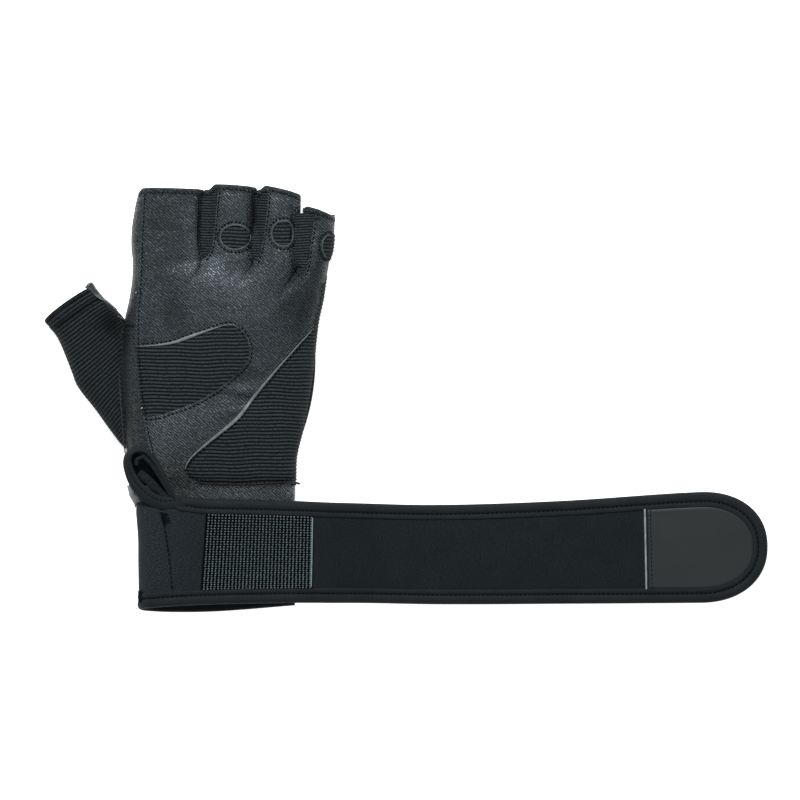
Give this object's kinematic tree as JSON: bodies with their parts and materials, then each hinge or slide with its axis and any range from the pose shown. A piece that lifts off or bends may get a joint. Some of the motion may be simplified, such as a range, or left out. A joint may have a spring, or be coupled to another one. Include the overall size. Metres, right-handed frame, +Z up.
{
  "type": "weightlifting glove",
  "caption": "Fingerless weightlifting glove for the right hand, leather and ribbed stretch cloth, with its long wrist strap laid out flat.",
  "frame": {"origin": "middle of the bounding box on the surface that the glove lies on", "axes": "+X along the opened strap to its free end, +Y from the wrist to the fingers, +Z up through the back of the hand"},
  "size_m": [0.405, 0.2382, 0.0274],
  "materials": {
    "leather": "smooth fine-grained black leather with a soft sheen",
    "ribbed_knit": "black ribbed stretch cloth",
    "neoprene": "matte black neoprene with a fine cloth face",
    "binding": "black stretch binding tape",
    "hook_tape": "dark nylon hook tape",
    "tab": "satin dark moulded rubbery plastic",
    "piping": "light grey reflective piping"
  },
  "bodies": {
    "root": {"index_side_strip": "leather", "thumb_gusset": "leather", "back_leather": "leather", "palm_leather": "leather", "hem_index": "leather", "hem_middle": "leather", "hem_ring": "leather", "hem_little": "leather", "thumb_palm": "leather", "thumb_hem": "leather", "fourchette_index_middle": "ribbed_knit", "fourchette_middle_ring": "ribbed_knit", "fourchette_ring_little": "ribbed_knit", "knuckle_insert_middle": "ribbed_knit", "knuckle_insert_ring": "ribbed_knit", "knuckle_insert_little": "ribbed_knit", "back_insert": "ribbed_knit", "ulnar_insert": "ribbed_knit", "thumb_back": "ribbed_knit", "wrist_strap": "neoprene", "strap_binding": "binding", "pleat_outer": "binding", "pleat_inner": "binding", "hook_tape": "hook_tape", "end_tab": "tab", "tab_piping": "piping"}
  },
  "joints": []
}
